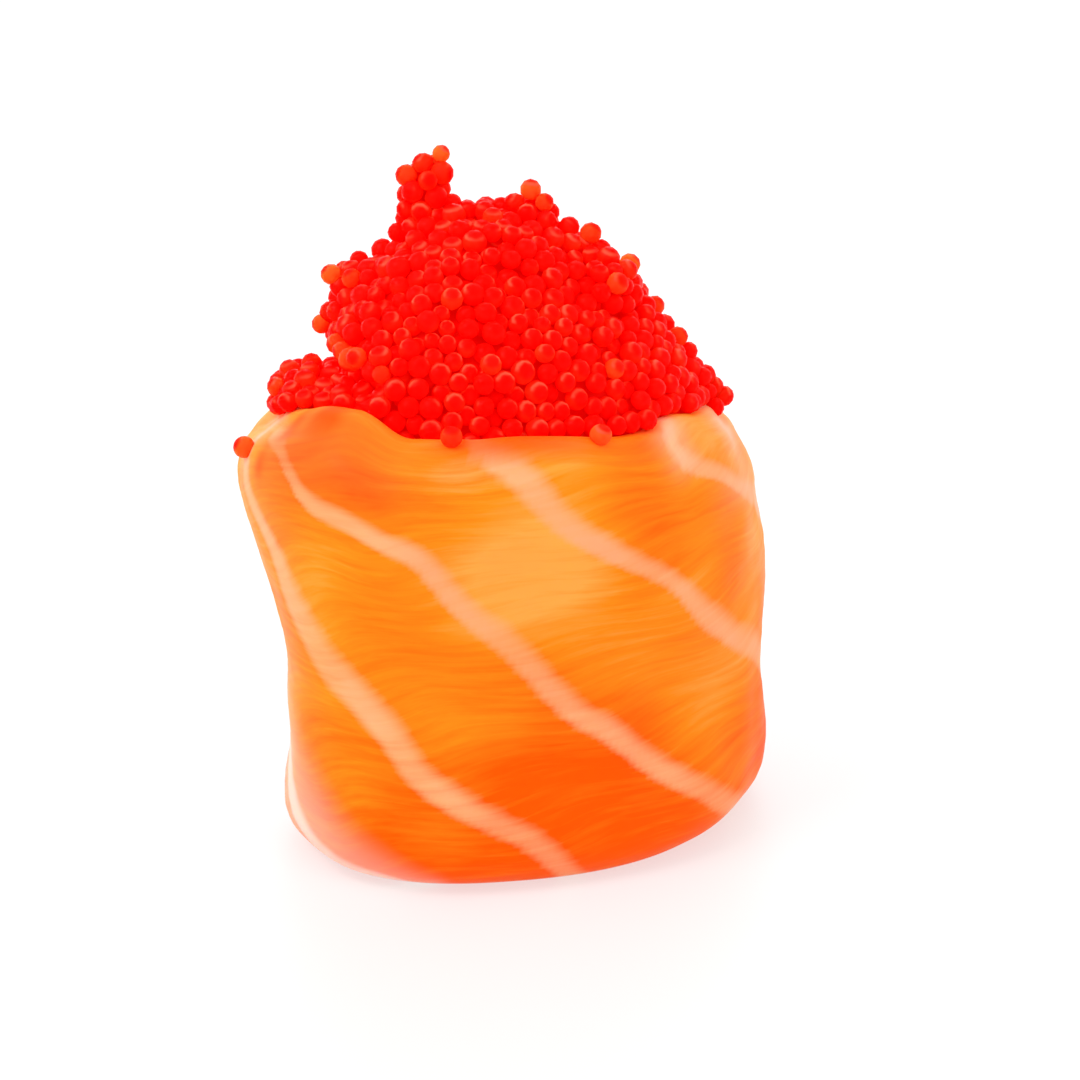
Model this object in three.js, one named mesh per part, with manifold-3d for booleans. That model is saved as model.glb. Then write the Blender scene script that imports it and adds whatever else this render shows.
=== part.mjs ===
// Gunkan sushi: a thick slice of raw salmon wound upright into a squat tub, under a tall heap of fish roe.
// Units are millimetres and +Z is up. The front, which shows the slice's best side, faces -Y.
// The origin is the middle of the sushi's outline seen from above, on the surface that it stands on.
import * as THREE from "three";
import { mergeVertices } from "three/addons/utils/BufferGeometryUtils.js";
import Module from "manifold-3d";

const wasm = await Module();
wasm.setup();

// ---------- Driving dimensions ----------
const RIM_HEIGHT = 33; // top edge of the salmon above the table
const WRAP_REACH = 18; // from the tub's middle to its outside, before it is pressed into shape
const SLICE = 3.2; // thickness of the salmon slice
const ROE_DIAMETER = 1.58; // one egg of flying fish roe
const HEAP_TOP = 51.3; // tip of the heap above the table
const GAP = 0.3; // clearance between the roe and the salmon

// ---------- Small helpers ----------
const degrees = THREE.MathUtils.degToRad;
const ease = THREE.MathUtils.smoothstep; // ease(x, low, high) goes from 0 to 1

// A repeatable stream of random numbers from 0 to 1.
function randomStream(seed) {
  let state = seed;
  return () => {
    state = (state + 0x6d2b79f5) | 0;
    let mixed = Math.imul(state ^ (state >>> 15), 1 | state);
    mixed = (mixed + Math.imul(mixed ^ (mixed >>> 7), 61 | mixed)) ^ mixed;
    return ((mixed ^ (mixed >>> 14)) >>> 0) / 4294967296;
  };
}

// A closed three.js geometry as a solid that can be joined and cut.
function solidOf(geometry) {
  const bare = geometry.clone();
  bare.deleteAttribute("normal");
  bare.deleteAttribute("uv");
  const welded = mergeVertices(bare, 1e-4);
  const vertProperties = new Float32Array(welded.attributes.position.array);
  const triVerts = new Uint32Array(welded.index.array);
  return new wasm.Manifold(new wasm.Mesh({ numProp: 3, vertProperties, triVerts }));
}

// A solid as a three.js geometry.
function geometryOf(solid) {
  const { numProp, vertProperties, triVerts } = solid.getMesh();
  const corners = new Float32Array(triVerts.length * 3);
  triVerts.forEach((vertex, i) => {
    corners.set(vertProperties.subarray(vertex * numProp, vertex * numProp + 3), i * 3);
  });
  const geometry = new THREE.BufferGeometry();
  geometry.setAttribute("position", new THREE.BufferAttribute(corners, 3));
  geometry.computeVertexNormals();
  return geometry;
}

// ---------- The salmon tub: turned plain, then pressed into its real, uneven shape ----------
const COLUMNS = 60; // faces round the tub
const FOOT_ROUND = 3.6; // radius of its bottom edge
const SHOULDER_DROP = 6.8; // from the rim down to where the wall starts to lean in
const SHOULDER_LEAN = 2.4; // how far it leans in at the rim
const LIP_ROUND = SLICE / 2 - 0.35; // the rim is a little thinner than the slice
const RECESS_DEPTH = 5; // from the rim down to what the roe lies on
const ARC_STEPS = 4; // faces along each rounded edge of the section
const WALL_STEPS = 7; // faces up the straight stretch of the wall
const SHOULDER_TURN = 75; // degrees of the shoulder's arc before the lip takes over
const LIP_START = 35; // where the lip's arc starts, in degrees from straight out
const SHOULDER_HEIGHT = RIM_HEIGHT - SHOULDER_DROP;

// The tub's section from the axis, round the foot, up the wall, over the lip and down into the recess.
// A grown section stands `grow` outside the real one everywhere.
function tubSection(grow = 0) {
  const section = [new THREE.Vector2(0, -grow)];
  const arc = (middle, across, up, from, to) => {
    for (let i = 0; i <= ARC_STEPS; i++) {
      const turn = degrees(THREE.MathUtils.lerp(from, to, i / ARC_STEPS));
      section.push(new THREE.Vector2(middle.x + across * Math.cos(turn), middle.y + up * Math.sin(turn)));
    }
  };
  const footMiddle = new THREE.Vector2(WRAP_REACH - FOOT_ROUND, FOOT_ROUND);
  arc(footMiddle, FOOT_ROUND + grow, FOOT_ROUND + grow, -90, 0);
  for (let i = 1; i < WALL_STEPS; i++) {
    const height = THREE.MathUtils.lerp(FOOT_ROUND, SHOULDER_HEIGHT, i / WALL_STEPS);
    section.push(new THREE.Vector2(WRAP_REACH + grow, height));
  }
  const lip = LIP_ROUND + grow;
  const lipMiddle = new THREE.Vector2(WRAP_REACH - SHOULDER_LEAN - LIP_ROUND, RIM_HEIGHT - LIP_ROUND);
  const shoulderMiddle = new THREE.Vector2(WRAP_REACH - SHOULDER_LEAN, SHOULDER_HEIGHT);
  arc(shoulderMiddle, SHOULDER_LEAN + grow, lipMiddle.y - SHOULDER_HEIGHT, 0, SHOULDER_TURN);
  arc(lipMiddle, lip, lip, LIP_START, 180);
  section.push(new THREE.Vector2(lipMiddle.x - lip, RIM_HEIGHT - RECESS_DEPTH + grow));
  section.push(new THREE.Vector2(0, RIM_HEIGHT - RECESS_DEPTH + grow));
  return section;
}

// Directions round the tub are angles from +X, seen from above: 180 is the left, 270 the front.
const SEAM_ANGLE = 158; // where the outer end of the slice lies, behind the left side
const LAP = 1.5; // how far that end stands out
const LAP_LENGTH = 0.42; // share of a turn over which the layer under it evens out
const LAP_INSIDE = 0.8; // share of the radius inside which there is no lap
const SEAM_CROWDING = 0.72; // how much closer together the columns stand at the seam

// How far the wall stands out on the left at a height: a narrow waist, a small toe and a wide flare.
const LEFT_WAIST = 14.25;
const LEFT_FLARE = { reach: 4.2, from: 13, to: 34 };
const LEFT_TOE = { reach: 0.5, from: 3, to: 10 };
function leftReach(height) {
  const flare = LEFT_FLARE.reach * ease(height, LEFT_FLARE.from, LEFT_FLARE.to);
  const toe = LEFT_TOE.reach * (1 - ease(height, LEFT_TOE.from, LEFT_TOE.to));
  return LEFT_WAIST + flare + toe;
}

// The same on the right: fuller, with a soft wave, and drawn in under the rim.
const RIGHT_FULL = 19.95;
const RIGHT_WAVE = { reach: 0.33, crest: 5, length: 14.3 };
const RIGHT_DRAW_IN = { reach: 1.5, from: 25.5, to: 31 };
function rightReach(height) {
  const wave = RIGHT_WAVE.reach * Math.cos((2 * Math.PI * (height - RIGHT_WAVE.crest)) / RIGHT_WAVE.length);
  const drawnIn = RIGHT_DRAW_IN.reach * ease(height, RIGHT_DRAW_IN.from, RIGHT_DRAW_IN.to);
  return RIGHT_FULL + wave - drawnIn;
}

const FRONT_DEPTH = 1.1; // middle to front, over middle to side
const BACK_DEPTH = 1.03; // middle to back, over middle to side
const PLAN_SKEW = 0.29; // the left comes forward and the right goes back
const PLAN_SQUARENESS = 2.2; // 2 is an ellipse, more is squarer

// Soft dents all over the wall: how deep, how many round the tub, and how they wind with the height.
const DENTS = [
  { depth: 0.22, count: 3, winding: 0.22 },
  { depth: 0.16, count: 5, winding: -0.3 },
];

// Stretches of the rim that stand higher or lower, between two angles. Each goes over into the rest softly, half
// of it before its angle and half after, with one softness where it starts and one where it ends.
const RIM_WAVES = [
  { name: "left flap", from: 203, to: 239, rise: 1.75, soft: [22, 9] },
  { name: "fall to the right", from: 290, to: 395, rise: -1.25, soft: [20, 9] },
  { name: "right flap", from: 318, to: 334, rise: 0.6, soft: [4, 10] },
  { name: "right dip", from: 346, to: 388, rise: -0.6, soft: [16, 9] },
];
const RIM_WAVE_DROP = 3 * RECESS_DEPTH; // how far under the rim they reach
const RIM_WAVE_INSIDE = [0.6, 0.8]; // shares of the radius between which they come in
function rimRise(angle) {
  return RIM_WAVES.reduce((rise, wave) => {
    const at = angle < 180 && wave.to > 360 ? angle + 360 : angle;
    const [start, end] = wave.soft;
    const into = ease(at, wave.from - start, wave.from + start);
    const out = ease(at, wave.to - end, wave.to + end);
    return rise + wave.rise * (into - out);
  }, 0);
}

// Presses one point of the turned tub. `past` is its share of a full turn past the seam.
function press(radius, past, height) {
  const angle = (SEAM_ANGLE + 360 * past) % 360;
  const across = Math.cos(degrees(angle));
  const along = Math.sin(degrees(angle));
  const squared = (value) => Math.sign(value) * Math.abs(value) ** (2 / PLAN_SQUARENESS);
  const dent = DENTS.reduce((sum, { depth, count, winding }) => {
    return sum + depth * Math.sin(count * degrees(angle) + winding * height);
  }, 0);
  const reach = THREE.MathUtils.lerp(leftReach(height), rightReach(height), (1 + across) / 2) + dent;
  const share = radius / WRAP_REACH;
  const layers = past > 0 && past < 1 ? LAP * (1 - ease(past, 0, LAP_LENGTH)) : 0;
  const reached = share * reach + layers * ease(share, LAP_INSIDE, 1);
  const x = squared(across) * reached;
  const y = squared(along) * reached * (along < 0 ? FRONT_DEPTH : BACK_DEPTH) + PLAN_SKEW * x;
  const nearRim = ease(height, RIM_HEIGHT - RIM_WAVE_DROP, RIM_HEIGHT) * ease(share, ...RIM_WAVE_INSIDE);
  return new THREE.Vector3(x, y, height + rimRise(angle) * nearRim);
}

// Turns a section on the lathe and presses the result, then moves each point by `finish`.
function pressedTub(section, finish = () => {}) {
  const turned = new THREE.LatheGeometry(section, COLUMNS);
  const places = turned.attributes.position;
  const perColumn = section.length;
  for (let i = 0; i < places.count; i++) {
    const { x: radius, y: height } = section[i % perColumn];
    const turn = Math.floor(i / perColumn) / COLUMNS;
    const past = turn - (SEAM_CROWDING * Math.sin(2 * Math.PI * turn)) / (2 * Math.PI);
    const place = press(radius, past, height);
    finish(place);
    places.setXYZ(i, place.x, place.y, place.z);
  }
  return turned;
}

// ---------- The roe ----------
const EGG = ROE_DIAMETER / 2;
const EGG_SPACING = 2.43; // least distance between the eggs that cover the heap
const EGG_SINK = 0.1; // how far an egg's middle lies above the core, as a share of its radius

function eggAt(place, turn, radius = EGG) {
  const egg = new THREE.IcosahedronGeometry(radius, 0);
  egg.rotateX(turn);
  egg.rotateZ(2 * turn);
  egg.translate(place.x, place.y, place.z);
  return solidOf(egg);
}

// The heap's body fills the recess, lies over the rim and rises as a steep round hill.
const HILL_TOP = 46.6;
const HILL_FOOT = RIM_HEIGHT + 0.2; // where the hill leaves the rim
const HILL_REACH = 14.6; // its radius there, in the same measure as WRAP_REACH
const HILL_STEPS = 8;
const HILL_LEAN = 0.9; // its top stands this much left of the tub's middle

function hillSection() {
  const section = [new THREE.Vector2(0, RIM_HEIGHT - RECESS_DEPTH + GAP)];
  section.push(new THREE.Vector2(HILL_REACH, RIM_HEIGHT - RECESS_DEPTH + GAP));
  for (let i = 0; i <= HILL_STEPS; i++) {
    const share = 1 - i / HILL_STEPS;
    const rise = (HILL_TOP - HILL_FOOT) * (1 - share ** 2);
    section.push(new THREE.Vector2(HILL_REACH * share, HILL_FOOT + rise));
  }
  return section;
}

// On its left the hill has a hollow, between the cheek above and the ledge below. Its top leans, and in front
// its foot lies behind the rim.
const HOLLOW = { depth: 5.3, middle: 35.9, half: 2.1, from: 7.8, to: 12.4 };
const STAND_BACK = { depth: 2, from: 8, to: 15, height: 5 };
function leanHill(place) {
  const left = ease(-place.x, HOLLOW.from, HOLLOW.to);
  const level = 1 - ease(Math.abs(place.z - HOLLOW.middle), 0, HOLLOW.half);
  place.x += HOLLOW.depth * left * level - HILL_LEAN * ease(place.z, HILL_FOOT, HILL_TOP);
  const front = ease(-place.y, STAND_BACK.from, STAND_BACK.to);
  place.y += STAND_BACK.depth * front * (1 - ease(place.z, HILL_FOOT, HILL_FOOT + STAND_BACK.height));
}

// The smaller forms on it: each is a lump with its middle and its half sizes.
const LUMPS = [
  { name: "tower", middle: [-5.5, 0.4, HEAP_TOP - 5.7], half: [1.5, 1.4, 4.6], fineness: 2 },
  { name: "tower tip", middle: [-4.8, 0.4, HEAP_TOP - 2.1], half: [1, 0.9, 1.3], fineness: 0 },
  { name: "horn", middle: [2.2, 0.3, HEAP_TOP - 6.2], half: [1.8, 1.8, 2.7], fineness: 1 },
  { name: "shoulder", middle: [7, -0.4, 40.8], half: [3, 5, 2.6], fineness: 2 },
  { name: "left cheek", middle: [-9, -1.4, 40.2], half: [3.2, 4.6, 2.6], fineness: 2 },
  { name: "left ledge", middle: [-12.9, -4.6, 33.8], half: [3.7, 6, 1.6], fineness: 2 },
];

function lump({ middle, half, fineness }) {
  const ball = new THREE.IcosahedronGeometry(1, fineness);
  ball.scale(...half);
  ball.translate(...middle);
  return solidOf(ball);
}

function heapCore(grownSalmon) {
  const hill = solidOf(pressedTub(hillSection(), leanHill));
  return LUMPS.map(lump).reduce((whole, next) => whole.add(next), hill).subtract(grownSalmon);
}

// Random places on a solid's surface, each with the direction that the surface faces there.
function scatterOn(solid, count, random) {
  const places = geometryOf(solid).attributes.position;
  const faces = [];
  let area = 0;
  for (let i = 0; i < places.count; i += 3) {
    const [a, b, c] = [0, 1, 2].map((k) => new THREE.Vector3().fromBufferAttribute(places, i + k));
    const face = new THREE.Triangle(a, b, c);
    area += face.getArea();
    faces.push({ face, upTo: area });
  }
  return Array.from({ length: count }, () => {
    const pick = random() * area;
    const { face } = faces.find(({ upTo }) => upTo >= pick);
    const [u, v] = [random(), random()];
    const [s, t] = u + v > 1 ? [1 - u, 1 - v] : [u, v];
    const spot = face.a.clone().multiplyScalar(1 - s - t);
    spot.addScaledVector(face.b, s).addScaledVector(face.c, t);
    return { spot, facing: face.getNormal(new THREE.Vector3()) };
  });
}

// Eggs spread evenly over the core wherever it shows above the rim, and clear of the salmon.
const EGG_TRIES = 16000;
const DOWNWARD = -0.5; // what faces down more than this is hidden and stays bare
function heapEggs(core, grownSalmon) {
  const kept = [];
  for (const { spot, facing } of scatterOn(core, EGG_TRIES, randomStream(7))) {
    const middle = spot.clone().addScaledVector(facing, EGG * EGG_SINK);
    if (spot.z < RIM_HEIGHT - LIP_ROUND || facing.z < DOWNWARD) continue;
    if (kept.some((other) => other.distanceTo(middle) < EGG_SPACING)) continue;
    if (eggAt(middle, 0).intersect(grownSalmon).volume() > 0) continue;
    kept.push(middle);
  }
  return kept;
}

// Single eggs that make the heap's outline: on its tower, its horn and its slopes.
const OUTLINE_EGGS = [
  [-4.25, 0.4, HEAP_TOP - EGG],
  [-4.2, 0.2, HEAP_TOP - EGG - 1.4],
  [-5.6, 0.4, HEAP_TOP - EGG - 0.7],
  [-6.8, 0.4, HEAP_TOP - EGG - 1.6],
  [-3.5, 0.2, 46.8],
  [2.3, 0.3, HEAP_TOP - EGG - 2.65],
  [1.1, 0, 46.9],
  [5.1, 0.2, 45.1],
  [6.7, 0.2, 44.65],
  [9.6, 0.2, 42.4],
  [13.3, 3, 36.4],
  [14.1, 3.3, 35.2],
  [15.4, 4.1, 33.2],
  [16.8, 4.6, 31.5],
  [-12.3, -1.5, 41.9],
  [-13.1, -1.5, 38.2],
  [-15.3, -3.6, 35.2],
  [-13.7, -3.8, 35.75],
  [16.05, 4.35, 32.3],
  [14.5, 3.7, 33.9],
  [-11.6, -1.5, 41],
  [-12.4, -1.5, 39.1],
  [6, 0.2, 43.75],
  [-7.45, 0.2, 44.7],
  [-8.6, 0, 43.45],
  [-10.3, -0.5, 42.8],
  [-12.15, -1.5, 37.5],
  [11.5, 2.5, 38.8],
  [12.91, 3.15, 35.28],
  [16, 4.1, 30.75],
];

// Eggs that have dropped onto the salmon: one clings to its left side, two lie on the front of the rim.
const STRAY_EGGS = [
  { radius: WRAP_REACH - 0.65, angle: 193, height: 30.7 },
  { radius: WRAP_REACH - SHOULDER_LEAN - 0.6, angle: 260, height: RIM_HEIGHT + 0.4 },
  { radius: WRAP_REACH - SHOULDER_LEAN - 0.6, angle: 296, height: RIM_HEIGHT + 0.4 },
];

// ---------- The two pieces ----------
// The salmon with its stray eggs, everywhere `grow` larger than it is.
function salmonWrap(grow = 0) {
  const tub = solidOf(pressedTub(tubSection(grow)));
  return STRAY_EGGS.reduce((whole, { radius, angle, height }) => {
    const place = press(radius, (angle - SEAM_ANGLE) / 360, height);
    return whole.add(eggAt(place, degrees(angle), EGG + grow));
  }, tub);
}

function roeHeap() {
  const grownSalmon = salmonWrap(GAP);
  const core = heapCore(grownSalmon);
  const places = [...OUTLINE_EGGS.map((at) => new THREE.Vector3(...at)), ...heapEggs(core, grownSalmon)];
  const random = randomStream(3);
  const eggs = places.map((place, i) => {
    const egg = eggAt(place, random() * Math.PI);
    return i < OUTLINE_EGGS.length ? egg.subtract(grownSalmon) : egg; // the outline's may touch the rim
  });
  return wasm.Manifold.union([core, ...eggs]);
}

const salmonFlesh = new THREE.MeshStandardMaterial({ color: 0xfb8a2e, roughness: 0.4, metalness: 0 });
const roeSkin = new THREE.MeshStandardMaterial({ color: 0xf5230a, roughness: 0.15, metalness: 0 });

function piece(name, solid, material) {
  const mesh = new THREE.Mesh(geometryOf(solid), material);
  mesh.name = name;
  return mesh;
}

const sushi = new THREE.Group();
sushi.add(piece("salmon_wrap", salmonWrap(), salmonFlesh));
sushi.add(piece("roe_heap", roeHeap(), roeSkin));

// The origin goes to the middle of the outline seen from above.
const outline = new THREE.Box3().setFromObject(sushi);
const middle = outline.getCenter(new THREE.Vector3());
sushi.position.set(-middle.x, -middle.y, 0);

export default sushi;
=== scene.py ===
# %% [markdown]
# Gunkan sushi
#
# A gunkan is a "battleship" roll: something soft is wound upright into a squat tub, and a loose topping is
# heaped into it. Here a thick slice of raw salmon is the wall, and the topping is a tall heap of flying
# fish roe. The lesson makes two things that are hard for different reasons. The salmon is one soft, uneven
# surface whose looks lie in its fat lines and its depth of colour. The roe is about eighteen hundred small
# balls that have to lie as a spoon left them, neither in rows nor through each other. Everything is
# modelled in millimetres round the tub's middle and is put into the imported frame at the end.

# %% The frame and the tools
import math
import bmesh
import bpy
import numpy as np
from mathutils import Matrix, Vector, noise
from mathutils.bvhtree import BVHTree


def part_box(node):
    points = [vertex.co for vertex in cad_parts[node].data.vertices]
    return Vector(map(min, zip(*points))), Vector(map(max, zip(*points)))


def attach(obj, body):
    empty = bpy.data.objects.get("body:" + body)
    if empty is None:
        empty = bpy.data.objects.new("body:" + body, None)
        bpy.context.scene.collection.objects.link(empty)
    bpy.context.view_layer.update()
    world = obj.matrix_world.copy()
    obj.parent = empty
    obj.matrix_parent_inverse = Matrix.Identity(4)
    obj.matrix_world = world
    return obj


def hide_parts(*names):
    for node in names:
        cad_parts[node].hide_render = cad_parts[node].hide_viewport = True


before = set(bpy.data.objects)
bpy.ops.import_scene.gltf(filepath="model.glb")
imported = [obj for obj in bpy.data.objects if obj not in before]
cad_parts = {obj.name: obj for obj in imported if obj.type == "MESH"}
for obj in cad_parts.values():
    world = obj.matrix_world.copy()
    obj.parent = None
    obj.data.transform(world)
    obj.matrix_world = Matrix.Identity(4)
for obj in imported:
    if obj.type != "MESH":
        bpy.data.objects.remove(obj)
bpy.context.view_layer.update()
MM = 0.001  # one millimetre in metres
scene = bpy.context.scene

# %% [markdown]
# The camera
#
# It comes first, because every later choice is judged through it. The sushi is seen from a little above,
# from so far away that its sides hardly run together. A long lens at a fair distance does that. A short
# lens close by would make the heap loom over the tub.

# %% Camera
CAMERA_TILT = 14.2  # degrees above the horizon
CAMERA_DISTANCE = 291 * MM
FIELD_WIDTH = 81 * MM  # what the square picture takes in at the target
CAMERA_TARGET = Vector((2.34, 0.96, 21.35)) * MM


def in_scene(name, data):
    """A new object, linked into the scene."""
    made = bpy.data.objects.new(name, data)
    scene.collection.objects.link(made)
    return made


camera = in_scene("camera", bpy.data.cameras.new("camera"))
scene.camera = camera
camera.data.sensor_width = 36
camera.data.lens = camera.data.sensor_width * CAMERA_DISTANCE / FIELD_WIDTH
camera.data.clip_start = 10 * MM
towards_camera = Vector((0, -math.cos(math.radians(CAMERA_TILT)), math.sin(math.radians(CAMERA_TILT))))
camera.location = CAMERA_TARGET + towards_camera * CAMERA_DISTANCE
camera.rotation_euler = towards_camera.to_track_quat("Z", "Y").to_euler()
print("lens:", round(camera.data.lens, 1), "mm")

# %% [markdown]
# The tub's sizes
#
# The slice is wound round a lump of pressed filling, so the tub is close to a turned shape: a rounded foot,
# a wall, a shoulder that leans in, a round lip and a shallow recess for the roe. It is made as that plain
# turned shape first. What the hand did to it comes after, as one function that moves every point.

# %% Sizes of the tub, in millimetres
RIM_HEIGHT = 33
WRAP_REACH = 18  # from the middle to the outside of the wall, before it is pressed
SLICE = 3.2  # thickness of the salmon slice
FOOT_ROUND = 3.6
SHOULDER_DROP = 6.8
SHOULDER_LEAN = 2.4
LIP_ROUND = SLICE / 2 - 0.35
RECESS_DEPTH = 5
ROE_DIAMETER = 1.58
EGG = ROE_DIAMETER / 2
GAP = 0.3  # between the salmon and what fills its recess
HEAP_TOP = 51.3
SHOULDER_HEIGHT = RIM_HEIGHT - SHOULDER_DROP
LIP_RADIUS = WRAP_REACH - SHOULDER_LEAN - LIP_ROUND  # of the circle along the middle of the lip
LIP_HEIGHT = RIM_HEIGHT - LIP_ROUND
RECESS_FLOOR = RIM_HEIGHT - RECESS_DEPTH

# %% [markdown]
# The tub's section
#
# The section is walked in short straight steps and round arcs. The steps are about a quarter of a
# millimetre on the wall, because the fine grain of the flesh is cut into the mesh later, and nearly as
# coarse as can be on the underside and in the recess, which nothing looks into.

# %% Section of the tub
ROW = 0.24  # step up the wall
HIDDEN_ROW = 1.2  # step where nothing is seen
SHOULDER_END = 75  # degrees at which the shoulder's arc ends
LIP_START = 35  # and the lip's begins


def walk(start, end, step):
    """Points on a straight line, without its start."""
    count = max(1, round(math.dist(start, end) / step))
    return [tuple(np.array(start) + (np.array(end) - start) * i / count) for i in range(1, count + 1)]


def arc(middle, across, up, turn_from, turn_to, step):
    """Points on an arc of an ellipse, with both its ends."""
    start, end = np.radians([turn_from, turn_to])
    count = max(3, round(abs(end - start) * max(across, up) / step))
    turns = np.linspace(start, end, count + 1)
    return [(middle[0] + across * math.cos(t), middle[1] + up * math.sin(t)) for t in turns]


def tub_section():
    """Radius and height, from the axis below round the foot, up the wall and over the lip to the recess."""
    foot = (WRAP_REACH - FOOT_ROUND, FOOT_ROUND)
    section = [(0, 0)] + walk((0, 0), (foot[0], 0), HIDDEN_ROW)
    section += arc(foot, FOOT_ROUND, FOOT_ROUND, -90, 0, ROW)[1:]
    section += walk((WRAP_REACH, FOOT_ROUND), (WRAP_REACH, SHOULDER_HEIGHT), ROW)
    shoulder = (WRAP_REACH - SHOULDER_LEAN, SHOULDER_HEIGHT)
    section += arc(shoulder, SHOULDER_LEAN, LIP_HEIGHT - SHOULDER_HEIGHT, 0, SHOULDER_END, ROW)[1:]
    section += arc((LIP_RADIUS, LIP_HEIGHT), LIP_ROUND, LIP_ROUND, LIP_START, 180, ROW)
    inner = LIP_RADIUS - LIP_ROUND
    section += walk(section[-1], (inner, RECESS_FLOOR), HIDDEN_ROW)
    return section + walk((inner, RECESS_FLOOR), (0, RECESS_FLOOR), HIDDEN_ROW)


print("rows in the section:", len(tub_section()))

# %% [markdown]
# Spinning a section
#
# The spin operator is a lathe: it sweeps a line of edges round an axis and can merge its last step into the
# first. The two ends lie on the axis, where every step leaves a point of its own, so these are merged
# afterwards. Each point then still tells its radius, its turn and its height, and that is what the pressing
# works from.

# %% The lathe
def spun(section, columns):
    """A closed bmesh, turned from a section that starts and ends on the Z axis."""
    bm = bmesh.new()
    points = [bm.verts.new((radius, 0, height)) for radius, height in section]
    line = [bm.edges.new(pair) for pair in zip(points, points[1:])]
    bmesh.ops.spin(bm, geom=points + line, cent=(0, 0, 0), axis=(0, 0, 1), dvec=(0, 0, 0),
                   angle=2 * math.pi, steps=columns, use_merge=True, use_duplicate=False)
    bmesh.ops.remove_doubles(bm, verts=bm.verts, dist=1e-4)
    bmesh.ops.recalc_face_normals(bm, faces=bm.faces)
    return bm


def places_of(mesh, what="co"):
    """All the points of a mesh, or their normals, as rows of x, y and z."""
    rows = np.empty(len(mesh.vertices) * 3, np.float32)
    mesh.vertices.foreach_get(what, rows)
    return rows.reshape(-1, 3).astype(float)


def mesh_of(bm, name):
    """Turns a bmesh into a mesh and frees it."""
    mesh = bpy.data.meshes.new(name)
    bm.to_mesh(mesh)
    bm.free()
    return mesh


# %% [markdown]
# Pressing the tub
#
# On the real thing the outer end of the slice lies on top of the first turn, so there is a step behind the
# left side, and the layer under it evens out over nearly half a turn. The left side has a narrow waist and
# a wide flare, the right side is full, the plan is a little square and skewed, and four stretches of the
# rim stand higher or lower. Each of these is a named size, and one function applies them all to a whole
# array of points.

# %% Sizes of the pressing
SEAM_ANGLE = 158  # degrees from +X, seen from above: where the outer end of the slice lies
LAP = 1.5
LAP_LENGTH = 0.42
LAP_INSIDE = 0.8
SEAM_CROWDING = 0.72
LEFT_WAIST = 14.25
LEFT_FLARE = {"reach": 4.2, "low": 13, "high": 34}
LEFT_TOE = {"reach": 0.5, "low": 3, "high": 10}
RIGHT_FULL = 19.95
RIGHT_WAVE = {"reach": 0.33, "crest": 5, "length": 14.3}
RIGHT_DRAW_IN = {"reach": 1.5, "low": 25.5, "high": 31}
FRONT_DEPTH = 1.1
BACK_DEPTH = 1.03
PLAN_SKEW = 0.29
PLAN_SQUARENESS = 2.2
DENTS = [(0.22, 3, 0.22), (0.16, 5, -0.3)]  # depth, how many round the tub, winding
RIM_WAVES = {  # angles of start and end, rise, and how softly it comes and goes
    "left flap": (203, 239, 1.75, 22, 9),
    "fall to the right": (290, 395, -1.25, 20, 9),
    "right flap": (318, 334, 0.6, 4, 10),
    "right dip": (346, 388, -0.6, 16, 9),
}
RIM_WAVE_DROP = 3 * RECESS_DEPTH
RIM_WAVE_INSIDE = (0.6, 0.8)


# %% The press
def ease(x, low, high):
    """Goes smoothly from 0 at low to 1 at high."""
    t = np.clip((np.asarray(x, float) - low) / (high - low), 0, 1)
    return t * t * (3 - 2 * t)


def left_reach(height):
    flare = LEFT_FLARE["reach"] * ease(height, LEFT_FLARE["low"], LEFT_FLARE["high"])
    return LEFT_WAIST + flare + LEFT_TOE["reach"] * (1 - ease(height, LEFT_TOE["low"], LEFT_TOE["high"]))


def right_reach(height):
    wave = RIGHT_WAVE["reach"] * np.cos(2 * np.pi * (height - RIGHT_WAVE["crest"]) / RIGHT_WAVE["length"])
    drawn_in = RIGHT_DRAW_IN["reach"] * ease(height, RIGHT_DRAW_IN["low"], RIGHT_DRAW_IN["high"])
    return RIGHT_FULL + wave - drawn_in


def rim_rise(angle):
    rise = np.zeros_like(angle)
    for start, end, high, coming, going in RIM_WAVES.values():
        at = np.where((angle < 180) & (end > 360), angle + 360, angle)
        rise += high * (ease(at, start - coming, start + coming) - ease(at, end - going, end + going))
    return rise


def press(radius, past, height, lap=None):
    """Where points of the turned tub end up. `past` is their share of a full turn past the seam."""
    radius, past, height = (np.asarray(value, float) for value in (radius, past, height))
    angle = (SEAM_ANGLE + 360 * past) % 360
    across, along = np.cos(np.radians(angle)), np.sin(np.radians(angle))
    dent = sum(deep * np.sin(count * np.radians(angle) + winding * height) for deep, count, winding in DENTS)
    reach = left_reach(height) + (right_reach(height) - left_reach(height)) * (1 + across) / 2 + dent
    share = radius / WRAP_REACH
    if lap is None:
        lap = np.where((past > 0) & (past < 1), LAP * (1 - ease(past, 0, LAP_LENGTH)), 0)
    reached = share * reach + lap * ease(share, LAP_INSIDE, 1)
    x = np.sign(across) * np.abs(across) ** (2 / PLAN_SQUARENESS) * reached
    y = np.sign(along) * np.abs(along) ** (2 / PLAN_SQUARENESS) * reached
    y = y * np.where(along < 0, FRONT_DEPTH, BACK_DEPTH) + PLAN_SKEW * x
    near_rim = ease(height, RIM_HEIGHT - RIM_WAVE_DROP, RIM_HEIGHT) * ease(share, *RIM_WAVE_INSIDE)
    return np.stack([x, y, height + rim_rise(angle) * near_rim], axis=-1)


def turned_places(mesh, columns):
    """Radius, turn (0 to 1) and height of every point of a spun mesh."""
    x, y, z = places_of(mesh).T
    turn = np.round(np.arctan2(y, x) / (2 * np.pi) * columns) / columns % 1
    return np.hypot(x, y), turn, z


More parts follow.
